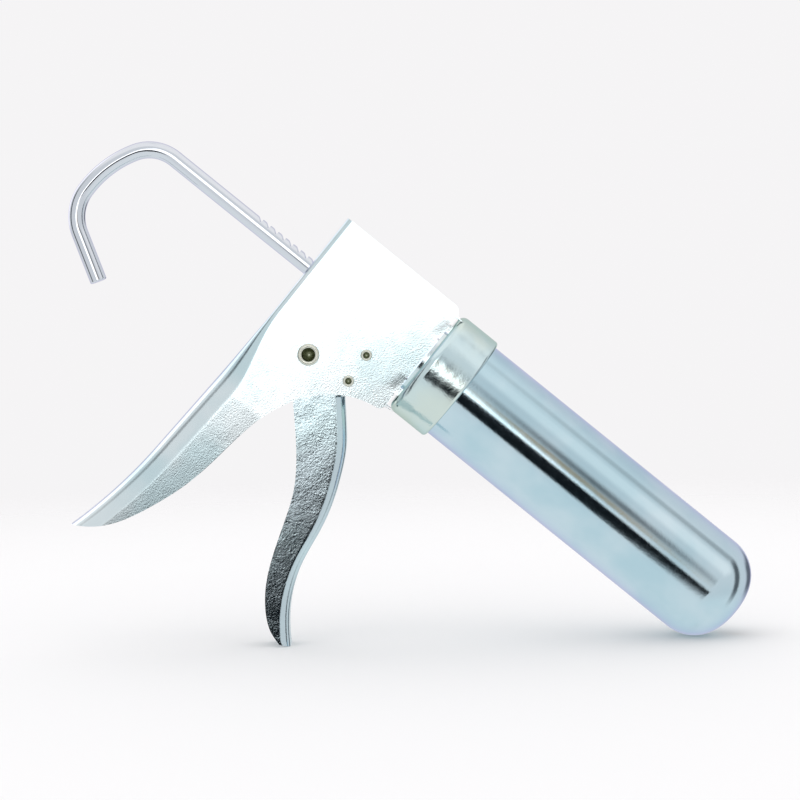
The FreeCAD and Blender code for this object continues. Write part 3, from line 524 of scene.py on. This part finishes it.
def channel_row(sizes, z, front, inset):
    """One row round the channel at a height, as (x, y) from the left front end to the right."""
    rear, half, bend = grip_section(sizes, z)
    rear, half, radius = rear + inset, half - inset, bend - inset
    centre = rear + radius
    stem_end = max(min(front, -TAB_RELIEF), rear)
    lip_end = max(min(front, 0.0), rear)
    tab_end = max(front, TAB_REACH) if front >= 0.0 else front
    side = [(tab_end, half), (lip_end, half)]
    # where the channel is so shallow that its side is gone, it starts part way round the bend
    start = math.asin(min(max(centre - stem_end, 0.0) / radius, 1.0))
    for n in range(SIDE_STEPS + 1):
        share = 0.0 if start else (n / SIDE_STEPS) ** 1.5
        side.append((stem_end + (centre - stem_end) * share, half))
    if start:
        y = half - radius + radius * math.cos(start)
        side = [(min(x, stem_end), y) for x, _ in side]
    for n in range(1, BEND_STEPS + 1):
        angle = start + (math.pi / 2 - start) * n / BEND_STEPS
        side.append((centre - radius * math.sin(angle), half - radius + radius * math.cos(angle)))
    flat = max(half - radius, 0.0)
    field = min(HOLE_FIELD, flat * 0.7)
    web = [flat * 0.5 + field * 0.5] if flat > field else []
    cells = [field * (1 - 2 * n / HOLE_CELLS) for n in range(HOLE_CELLS + 1)]
    middle = [(rear, y) for y in web + cells + [-y for y in reversed(web)]]
    other = [(x, -y) for x, y in reversed(side)]
    return [(min(x, tab_end), y) for x, y in side + middle + other]


def dented(x, y, z):
    """The side is pulled in a little round the foot of each staked tab."""
    on_side = abs(y) >= 9
    if not on_side or z < DENT_LOWEST:
        return y
    near = smooth_share(-abs(abs(z) - TAB_MIDDLE), -6.0, -2.0)
    depth = DENT_DEPTH * near * smooth_share(x, -5.0, -0.6)
    return y - math.copysign(depth, y)


class GUN_OT_frame(bpy.types.Operator):
    """Folds the sheet channel that is head and handle, with its tabs and its rod hole."""

    bl_idname = "gun.frame"
    bl_label = "Head and handle"

    def execute(self, context):
        sizes = context.scene.gun_sizes
        rows = frame_rows(sizes)
        gauge = sizes.gauge / MM
        outer, inner = ([[(x * MM, dented(x, y, z) * MM, z * MM)
                          for x, y in channel_row(sizes, z, front, inset)]
                         for z, front in rows] for inset in (0.0, gauge))
        columns = len(outer[0])
        first_web = (columns - HOLE_CELLS) // 2
        shoulder = sizes.head_top / MM - HEAD_CORNER

        def present(r, c):
            """Leaves out what is beside the tabs at the front, and the field for the hole."""
            edge = min(c, columns - 2 - c)
            middle = (rows[r][0] + rows[r + 1][0]) / 2
            from_tab = abs(abs(middle) - TAB_MIDDLE)
            if edge == 0:
                return from_tab < TAB_HALF or middle < CHIN or middle > shoulder
            if edge == 1:
                return not TAB_HALF <= from_tab < TAB_HALF + TAB_RELIEF
            in_hole = abs(middle) < HOLE_FIELD and first_web <= c < first_web + HOLE_CELLS
            return not in_hole

        shell = Shell()
        shell.thicken(outer, inner, present)
        self.rod_hole(sizes, shell)
        piece("frame_sheet", shell, "zinc_plated_sheet", "gun", ["frame"], bevel=0.22 * MM,
              holes=[(place, shank * MM) for _, _, place, (shank, *_) in RIVETS])
        return {"FINISHED"}

    @staticmethod
    def rod_hole(sizes, shell):
        """Fills the field left in the rear web up to the round hole for the rod."""
        step = 2 * HOLE_FIELD / HOLE_CELLS
        square = [(HOLE_FIELD, HOLE_FIELD - n * step) for n in range(HOLE_CELLS)]
        square += [(HOLE_FIELD - n * step, -HOLE_FIELD) for n in range(HOLE_CELLS)]
        square += [(-y, -z) for y, z in square]
        rings = []
        for depth in (0.0, sizes.gauge / MM):
            x = -sizes.head_length / MM + depth
            outside, rim = [], []
            for y, z in square:
                r = math.hypot(y, z)
                outside.append((x * MM, y * MM, z * MM))
                rim.append((x * MM, y / r * HOLE * MM, z / r * HOLE * MM))
            rings.append((outside, rim))
        (outer, outer_rim), (inner, inner_rim) = rings
        count = len(square)
        # the field's border cells were left open, so the wall that closed them is taken out
        border = {shell.corner(point) for point in outer + inner}
        shell.faces = [loop for loop in shell.faces
                       if not (all(n in border for n in loop) and len(loop) == 4
                               and len({round(shell.corners[n][0], 7) for n in loop}) == 2)]
        for n in range(count):
            m = (n + 1) % count
            shell.face(outer[n], outer_rim[n], outer_rim[m], outer[m])
            shell.face(outer_rim[n], inner_rim[n], inner_rim[m], outer_rim[m])
            shell.face(inner_rim[n], inner[n], inner[m], inner_rim[m])


# ----------------------------------------------------------------- barrel, cap and guide
class GUN_OT_barrel(bpy.types.Operator):
    """Draws the barrel with its rounded nose, and spins its cap and the rod's guide."""

    bl_idname = "gun.barrel"
    bl_label = "Barrel, cap and rod guide"

    def execute(self, context):
        s = context.scene.gun_sizes
        wall, start, chamfer = 1.2 * MM, 3.95 * MM, 0.3 * MM
        r, end, nose = s.barrel_radius, s.barrel_end, s.nose_radius
        nose_steps, body_steps = 40, 24

        def nose_curve(radius):
            """From the barrel's side round its nose to the edge of the nozzle's hole."""
            angles = [math.radians(90 * n / nose_steps) for n in range(nose_steps + 1)]
            curve = [(end - nose + radius * math.sin(a), r - nose + radius * math.cos(a))
                     for a in angles if r - nose + radius * math.cos(a) > s.nozzle_radius]
            tilt = math.acos((s.nozzle_radius - r + nose) / radius)
            return curve + [(end - nose + radius * math.sin(tilt), s.nozzle_radius)]

        body = [start + (end - nose - start) * n / body_steps for n in range(body_steps)]
        profile = [(start, r - chamfer), (start + chamfer, r)]
        profile += [(x, r) for x in body[1:]] + nose_curve(nose)
        profile += list(reversed(nose_curve(nose - wall)))
        profile += [(x, r - wall) for x in reversed(body)]
        piece("barrel_shell", lathe(profile, 224), "zinc_plated_barrel", "barrel", ["barrel"])

        back, reach, cap, sheet, hole = 1.6 * MM, 23.3 * MM, s.cap_radius, 1.5 * MM, 6.02 * MM
        mouth, lip, lip_foot = r + 0.35 * MM, 2.3 * MM, 2.8 * MM
        cup = [(back, hole), (back, cap), (reach, cap), (reach, mouth), (reach - lip, mouth),
               (reach - lip_foot, cap - sheet), (back + sheet, cap - sheet), (back + sheet, hole)]
        ease = [0, 3.5 * MM, 1.5 * MM, 0.5 * MM, 0.3 * MM, 0.3 * MM, 2.0 * MM, 0]
        piece("barrel_cap_shell", lathe(eased(cup, ease, 12), 224), "zinc_plated_cap", "gun",
              ["barrel_cap"])

        bore = s.rod_radius + 0.05 * MM
        bush = [(-1.2, bore / MM), (-1.2, 6.9), (-0.9, 7.2), (0.0, 7.2), (0.0, 6.0), (3.1, 6.0),
                (3.1, 9.5), (4.8, 9.5), (5.1, 9.2), (5.1, bore / MM)]
        piece("rod_guide_bush", lathe([(x * MM, y * MM) for x, y in bush], 96), "turned_steel",
              "gun", ["rod_guide"])
        return {"FINISHED"}


# --------------------------------------------------------------------------------- rod
NEARLY_NONE = 0.01  # radius of the small flat that closes each end


class GUN_OT_rod(bpy.types.Operator):
    """Bends the push rod into its hook and cuts its ratchet teeth."""

    bl_idname = "gun.rod"
    bl_label = "Push rod"

    def execute(self, context):
        s = context.scene.gun_sizes
        radius, sides = s.rod_radius / MM, 72
        pitch, depth = s.tooth_pitch / MM, s.tooth_depth / MM

        def ring(x, z, heading, size, level=None):
            """A ring square to the rod where it heads this way, in degrees, cut at a level."""
            up = math.radians(heading - 90)
            points = []
            for n in range(sides):
                a = 2 * math.pi * n / sides
                out, y = size * math.cos(a), size * math.sin(a)
                if level is not None:
                    out = min(out, level)
                points.append(((x + out * math.cos(up)) * MM, y * MM,
                               (z + out * math.sin(up)) * MM))
            return points

        def straight(x, size, level=None):
            return ring(x, 0, 180, size, level)

        # the stud that holds the piston, its chamfer and the shoulder behind it
        tip, shoulder, stud = 96, 84, 3.0
        rings = [straight(tip, NEARLY_NONE), straight(tip, 2.6), straight(95.6, stud),
                 straight(shoulder, stud), straight(shoulder, 3.6), straight(83.65, radius)]
        # each tooth is a steep wall with a ramp behind it, and first is the rearmost wall
        first, ramp = -98.2, 2.5
        for k in reversed(range(s.tooth_count)):
            wall = first + pitch * k
            rings += [straight(wall + 0.12, radius), straight(wall, radius, radius - 0.16),
                      straight(wall - 0.05, radius, radius - depth + 0.12),
                      straight(wall - 0.22, radius, radius - depth)]
            for share in (0.25, 0.5, 0.75, 0.93):
                rings.append(straight(wall - ramp * share, radius,
                                      radius - depth * (1 - share) * 0.97))
            rings.append(straight(wall - 2.75, radius))
        x, z, heading = -148.0, 0.0, 180.0
        rings += [straight(a, radius) for a in np.linspace(first - 6, x, 12)]
        # the hook's bends, each as its radius in millimetres and its turn in degrees
        for bend, turn in ((19.0, 60.0), (52.0, 32.0), (21.0, 58.0)):
            cx = x - bend * math.sin(math.radians(heading))
            cz = z + bend * math.cos(math.radians(heading))
            steps = int(turn / 2)
            for n in range(1, steps + 1):
                way = heading + turn * n / steps
                rings.append(ring(cx + bend * math.sin(math.radians(way)),
                                  cz - bend * math.cos(math.radians(way)), way, radius))
            heading += turn
            x = cx + bend * math.sin(math.radians(heading))
            z = cz - bend * math.cos(math.radians(heading))
        way = math.radians(heading)
        for run, size in ((12, radius), (23.4, radius), (23.7, radius - 0.12),
                          (23.92, radius - 0.35), (24, radius - 0.6), (24, 2.0), (24, NEARLY_NONE)):
            rings.append(ring(x + run * math.cos(way), z + run * math.sin(way), heading, size))
        shell = Shell()
        shell.grid(rings, closed=True)
        shell.face(*rings[0])
        shell.face(*reversed(rings[-1]))
        piece("push_rod_bar", shell, "zinc_plated_bar", "rod", ["push_rod"], sharp=40)
        return {"FINISHED"}


# ----------------------------------------------------------------------------- trigger
TRIGGER_FRONT = [(-17.2, -36.2), (-8.4, -46.1), (-2.1, -53.9), (4.2, -65.4), (9.4, -78.0),
                 (13.1, -92.1), (16.0, -108.8), (20.9, -122.4), (27.7, -133.4), (36.2, -143.0)]
TRIGGER_REAR = [(31.6, -145.3), (25.1, -143.3), (16.7, -137.0), (9.4, -127.6), (3.1, -114.6),
                (-2.6, -98.9), (-8.4, -84.8), (-15.7, -73.8), (-25.1, -62.8), (-34.5, -52.9)]
DRIVE_PIN, ARM = (-46.188, -14.415), 5.0
CHEEK_FRONT = [(-17.2, -36.2), (-24.0, -33.5), (-31.5, -24.5), (DRIVE_PIN[0] + ARM, DRIVE_PIN[1])]
CHEEK_REAR = [(-34.5, -52.9), (-50.0, -42.0), (-54.0, -31.0), (DRIVE_PIN[0] - ARM, DRIVE_PIN[1])]
PIVOT_HOLE, PIN_HOLE = 4.05, 2.02
# how many steps the ends' arc, each part of a cheek, the grip, a side and a bend are drawn in
ARM_STEPS, CHEEK_STEPS, GRIP_STEPS, WALL_STEPS, FOLD_STEPS = 8, 6, 110, 14, 10


class GUN_OT_trigger(bpy.types.Operator):
    """Presses the trigger: a channel whose web is its front and whose cheeks go to the pivot."""

    bl_idname = "gun.trigger"
    bl_label = "Trigger"

    def execute(self, context):
        s = context.scene.gun_sizes
        half, bend, gauge = s.trigger_width / 2 / MM, s.trigger_bend / MM, s.gauge / MM
        front = curve_through(TRIGGER_FRONT, GRIP_STEPS)
        rear = list(reversed(curve_through(TRIGGER_REAR, GRIP_STEPS)))
        pairs = []
        for n in range(1, ARM_STEPS + 1):
            a = math.radians(90 - 90 * n / ARM_STEPS)
            pairs.append(((DRIVE_PIN[0] + ARM * math.cos(a), DRIVE_PIN[1] + ARM * math.sin(a)),
                          (DRIVE_PIN[0] - ARM * math.cos(a), DRIVE_PIN[1] + ARM * math.sin(a))))
        for n in reversed(range(len(CHEEK_FRONT) - 1)):
            a, b, c, d = CHEEK_FRONT[n + 1], CHEEK_FRONT[n], CHEEK_REAR[n + 1], CHEEK_REAR[n]
            for k in range(1, CHEEK_STEPS + 1):
                t = k / CHEEK_STEPS
                pairs.append(((a[0] + (b[0] - a[0]) * t, a[1] + (b[1] - a[1]) * t),
                              (c[0] + (d[0] - c[0]) * t, c[1] + (d[1] - c[1]) * t)))
        cheek_rows = len(pairs) - 1
        pairs += list(zip(front, rear))[1:]
        outer_rows, inner_rows = [], []
        for row, (f, g) in enumerate(pairs):
            across = Vector((g[0] - f[0], g[1] - f[1]))
            depth = across.length
            way = across.normalized()
            after, before = pairs[min(row + 1, len(pairs) - 1)][0], pairs[max(row - 1, 0)][0]
            along = Vector(after) - Vector(before)
            slant = abs(along.normalized().cross(way)) if along.length else 1.0
            fold = bend * max(0.0, 1 - (cheek_rows - row) / 3)
            if row >= cheek_rows:
                fold = min(bend, depth * 0.7)
            for rows, inset in ((outer_rows, 0.0), (inner_rows, gauge)):
                radius = max(fold - inset, 0.02)
                y_flat, drop = half - inset, inset / max(slant, 0.5) if row >= cheek_rows else 0.0
                side = []
                for n in range(WALL_STEPS + 1):
                    share = 1 - n / WALL_STEPS
                    run = max(fold, drop) + (depth - max(fold, drop)) * share
                    side.append((run, y_flat))
                for n in range(1, FOLD_STEPS + 1):
                    a = math.radians(90 * n / FOLD_STEPS)
                    side.append((drop + radius * (1 - math.sin(a)),
                                 y_flat - radius * (1 - math.cos(a))))
                web = [(drop, y) for y in np.linspace(y_flat - radius, radius - y_flat, 9)[1:-1]]
                line = side + web + [(run, -y) for run, y in reversed(side)]
                rows.append([((f[0] + way.x * run) * MM, y * MM, (f[1] + way.y * run) * MM)
                             for run, y in line])
        columns = len(outer_rows[0])

        def present(r, c):
            """The cheeks have no web."""
            return r >= cheek_rows or min(c, columns - 2 - c) < WALL_STEPS

        shell = Shell()
        shell.thicken(outer_rows, inner_rows, present)
        piece("trigger_pressing", shell, "zinc_plated_trigger", "trigger", ["trigger"],
              bevel=0.2 * MM, sharp=40,
              holes=[(PIVOT, PIVOT_HOLE * MM), (DRIVE_PIN, PIN_HOLE * MM)])
        return {"FINISHED"}


# ------------------------------------------------------------------------------ rivets
def rivet_profile(shank, head, bore, height, depth, half):
    """A tubular rivet, as (place across the gun, radius): rolled end first, domed head last."""
    near, far = -half, half
    rim = near - height
    rolled = [(near, head), (near - height * 0.35, head),
              (near - height * 0.8, head - height * 0.45), (rim, head - height * 0.95),
              (rim, bore + height * 0.55), (near - height * 0.8, bore + 0.1), (near, bore),
              (rim + depth, bore), (rim + depth + bore * 0.35, bore * 0.5),
              (rim + depth + bore * 0.45, 0.0)]
    domed = [(far + height, 0.0), (far + height, head * 0.45), (far + height * 0.8, head * 0.75),
             (far + height * 0.45, head * 0.95), (far, head), (far, shank), (near, shank)]
    return rolled + domed


class GUN_OT_rivets(bpy.types.Operator):
    """Sets the pivot rivet and the two small rivets through the head."""

    bl_idname = "gun.rivets"
    bl_label = "Rivets"

    def execute(self, context):
        half = context.scene.gun_sizes.head_width / 2 / MM
        for name, node, place, sizes in RIVETS:
            profile = [(a * MM, r * MM) for a, r in rivet_profile(*sizes, half)]
            piece(name, lathe(profile, 64, "Y"), "rivet_steel", "gun", [node], sharp=50,
                  centre=Vector((place[0], 0, place[1])) * MM)
        return {"FINISHED"}


# ------------------------------------------------------------------------ carried nodes
class GUN_OT_carried(bpy.types.Operator):
    """Gives the pieces whose CAD shape is right their finishes."""

    bl_idname = "gun.carried"
    bl_label = "Plate, piston, pawls and springs"

    def execute(self, context):
        slots = {part["node"]: part["material_slot"] for part in frame["record"]["subparts"]}
        for name, node in frame["nodes"].items():
            node.data.materials.clear()
            node.data.materials.append(finishes()[slots[name]])
        return {"FINISHED"}


# ------------------------------------------------------------------------------- stage
# Soft boxes, flags and openings of the light tent, by where they stand round the gun:
# azimuth from the front and height in degrees, half sizes, tilt, softness, brightness, colour.
TENT = [
    ("floor_glow", 0, -62, 190, 36, 0, 0.35, 0.92, "#F4FAFC"),
    ("top_box", 0, 66, 190, 22, 0, 0.4, 1.0, "#FFFFFF"),
    ("right_flag", 21.5, 12.5, 3.5, 7, -35, 0.9, 0.22, "#D8DCE0"),
    ("warm_strip", 12.5, 4.5, 3.0, 4.5, -30, 0.4, 0.5, "#F4D9B8"),
    ("key_box", 0.5, 8, 7.8, 13.5, -14, 0.3, 2.0, "#FFFFFF"),
    ("front_flag", -4.2, -13.2, 12.5, 7.3, 34, 0.12, 0.02, "#A8BCD0"),
    ("left_opening", -78, 6, 9, 32, 8, 0.5, 0.16, "#C8D4E0"),
    ("right_opening", 84, 4, 8, 34, -6, 0.5, 0.2, "#D0D8E0"),
    ("rear_left_box", -128, 22, 15, 26, 0, 0.2, 1.4, "#FFFFFF"),
    ("rear_right_flag", 136, -4, 14, 14, 6, 0.5, 0.3, "#C8D0D8"),
    ("side_box", 56, 34, 13, 16, 0, 0.5, 0.98, "#FFFFFF"),
]


TENT_GLOW = 0.80  # brightness of the tent's plain cloth
# the backdrop's brightness as light on the gun, and as the camera sees it
BACKDROP_LIGHT, BACKDROP_SEEN = 1.11, 0.915
FADE_FROM, FADE_TO = 0.30, 0.95  # metres from the gun between which the floor fades


def light_tent():
    """The world: a pale tent round the gun, and a plain pale backdrop for the camera."""
    world = bpy.data.worlds.new("studio")
    bpy.context.scene.world = world
    world.use_nodes = True
    tree = world.node_tree
    tree.nodes.clear()
    way = add(tree, "ShaderNodeTexCoord").outputs["Generated"]
    axes = add(tree, "ShaderNodeSeparateXYZ", {"Vector": way}).outputs
    toward = add(tree, "ShaderNodeMath", {0: axes["Y"], 1: -1.0},
                 operation="MULTIPLY").outputs[0]
    azimuth = add(tree, "ShaderNodeMath", {0: axes["X"], 1: toward},
                  operation="ARCTAN2").outputs[0]
    height = add(tree, "ShaderNodeMath", {0: axes["Z"]}, operation="ARCSINE").outputs[0]
    angles = add(tree, "ShaderNodeCombineXYZ", {"X": azimuth, "Y": height}).outputs["Vector"]
    glow = add(tree, "ShaderNodeRGB").outputs["Color"]
    glow.default_value = rgba([TENT_GLOW * v for v in linear("#F8FCFF")])
    for name, at, up, half_wide, half_high, tilt, soft, bright, code in TENT:
        local = add(tree, "ShaderNodeMapping", {
            "Vector": angles, "Location": (math.radians(at), math.radians(up), 0),
            "Rotation": (0, 0, math.radians(tilt)),
            "Scale": (math.radians(half_wide), math.radians(half_high), 1)},
            vector_type="TEXTURE", name=name)
        sides = add(tree, "ShaderNodeVectorMath", {0: local.outputs["Vector"]},
                    operation="ABSOLUTE")
        split = add(tree, "ShaderNodeSeparateXYZ", {"Vector": sides.outputs["Vector"]}).outputs
        masks = [spread(tree, split[key], 1 + soft, 1 - soft) for key in ("X", "Y")]
        mask = add(tree, "ShaderNodeMath", {0: masks[0], 1: masks[1]}, operation="MULTIPLY")
        glow = mixed(tree, mask.outputs[0], glow, rgba([bright * v for v in linear(code)]))
    tent = add(tree, "ShaderNodeBackground", {"Color": glow, "Strength": 1.0})
    path = add(tree, "ShaderNodeLightPath").outputs
    level = spread(tree, path["Is Camera Ray"], 0.0, 1.0, BACKDROP_LIGHT, BACKDROP_SEEN)
    backdrop = add(tree, "ShaderNodeBackground", {
        "Color": rgba((1.0, 0.99, 1.0)), "Strength": level})
    both = add(tree, "ShaderNodeMixShader", {
        0: path["Is Glossy Ray"], 1: backdrop.outputs["Background"], 2: tent.outputs["Background"]})
    add(tree, "ShaderNodeOutputWorld", {"Surface": both.outputs["Shader"]})


def floor_finish(floor_colour):
    """Matt pale board that fades into the backdrop away from the gun."""
    material = bpy.data.materials.new("matt_pale_studio_board")
    material.use_nodes = True
    tree = material.node_tree
    tree.nodes.clear()
    where = add(tree, "ShaderNodeTexCoord").outputs["Object"]
    far = add(tree, "ShaderNodeVectorMath", {0: where}, operation="LENGTH").outputs["Value"]
    fade = spread(tree, far, FADE_FROM, FADE_TO)
    board = add(tree, "ShaderNodeBsdfPrincipled", {
        "Base Color": rgba(floor_colour), "Roughness": 0.85,
        "Normal": add(tree, "ShaderNodeBump", {
            "Distance": 0.02 * MM, "Height": noise(tree, where, 0.6)}).outputs["Normal"]})
    clear = add(tree, "ShaderNodeBsdfTransparent")
    both = add(tree, "ShaderNodeMixShader", {
        0: fade, 1: board.outputs["BSDF"], 2: clear.outputs["BSDF"]})
    add(tree, "ShaderNodeOutputMaterial", {"Surface": both.outputs["Shader"]})
    return material


class GUN_OT_stage(bpy.types.Operator):
    """Lays the pale floor, hangs the light tent and sets the camera."""

    bl_idname = "gun.stage"
    bl_label = "Studio"

    def execute(self, context):
        scene = context.scene
        work = bmesh.new()
        bmesh.ops.create_circle(work, cap_ends=True, segments=96, radius=1.0)
        mesh = bpy.data.meshes.new("studio_floor")
        work.to_mesh(mesh)
        work.free()
        floor = bpy.data.objects.new("studio_floor", mesh)
        scene.collection.objects.link(floor)
        mesh.materials.append(floor_finish(scene.gun_colours.floor))
        floor.visible_glossy = False
        light_tent()

        camera = bpy.data.cameras.new("studio_camera")
        camera.sensor_width, camera.lens = 36.0, 91.4
        camera.clip_start = 0.05
        eye = bpy.data.objects.new("studio_camera", camera)
        scene.collection.objects.link(eye)
        target = GUN @ (Vector((3.96, 0, -21.62)) * MM)
        dip, roll, distance = math.radians(2.5), math.radians(1.32), 0.95
        forward = Vector((0, math.cos(dip), -math.sin(dip)))
        right, up = Vector((1, 0, 0)), Vector((0, math.sin(dip), math.cos(dip)))
        right_now = right * math.cos(roll) - up * math.sin(roll)
        up_now = up * math.cos(roll) + right * math.sin(roll)
        turn = Matrix((right_now, up_now, -forward)).transposed().to_4x4()
        eye.matrix_world = Matrix.Translation(target - forward * distance) @ turn
        scene.camera = eye
        scene.view_settings.view_transform = "Standard"
        return {"FINISHED"}


# ------------------------------------------------------------------------------- panel
OPERATORS = (GUN_OT_carried, GUN_OT_frame, GUN_OT_barrel, GUN_OT_rod, GUN_OT_trigger,
             GUN_OT_rivets, GUN_OT_stage)


class GUN_PT_panel(bpy.types.Panel):
    """Lists the gun's pieces, sizes and colours."""

    bl_idname = "GUN_PT_panel"
    bl_label = "Caulking Gun"
    bl_space_type = "VIEW_3D"
    bl_region_type = "UI"
    bl_category = "Caulking Gun"

    def draw(self, context):
        for operator in OPERATORS:
            self.layout.operator(operator.bl_idname)
        for group in (context.scene.gun_sizes, context.scene.gun_colours):
            column = self.layout.column(align=True)
            for key in group.__annotations__:
                column.prop(group, key)


CLASSES = (GunSizes, GunColours, *OPERATORS, GUN_PT_panel)


def register():
    for item in CLASSES:
        bpy.utils.register_class(item)
    bpy.types.Scene.gun_sizes = PointerProperty(type=GunSizes)
    bpy.types.Scene.gun_colours = PointerProperty(type=GunColours)


def unregister():
    del bpy.types.Scene.gun_colours
    del bpy.types.Scene.gun_sizes
    for item in reversed(CLASSES):
        bpy.utils.unregister_class(item)


def main():
    register()
    for operator in OPERATORS:
        group, name = operator.bl_idname.split(".")
        getattr(getattr(bpy.ops, group), name)()


if __name__ == "__main__":
    main()
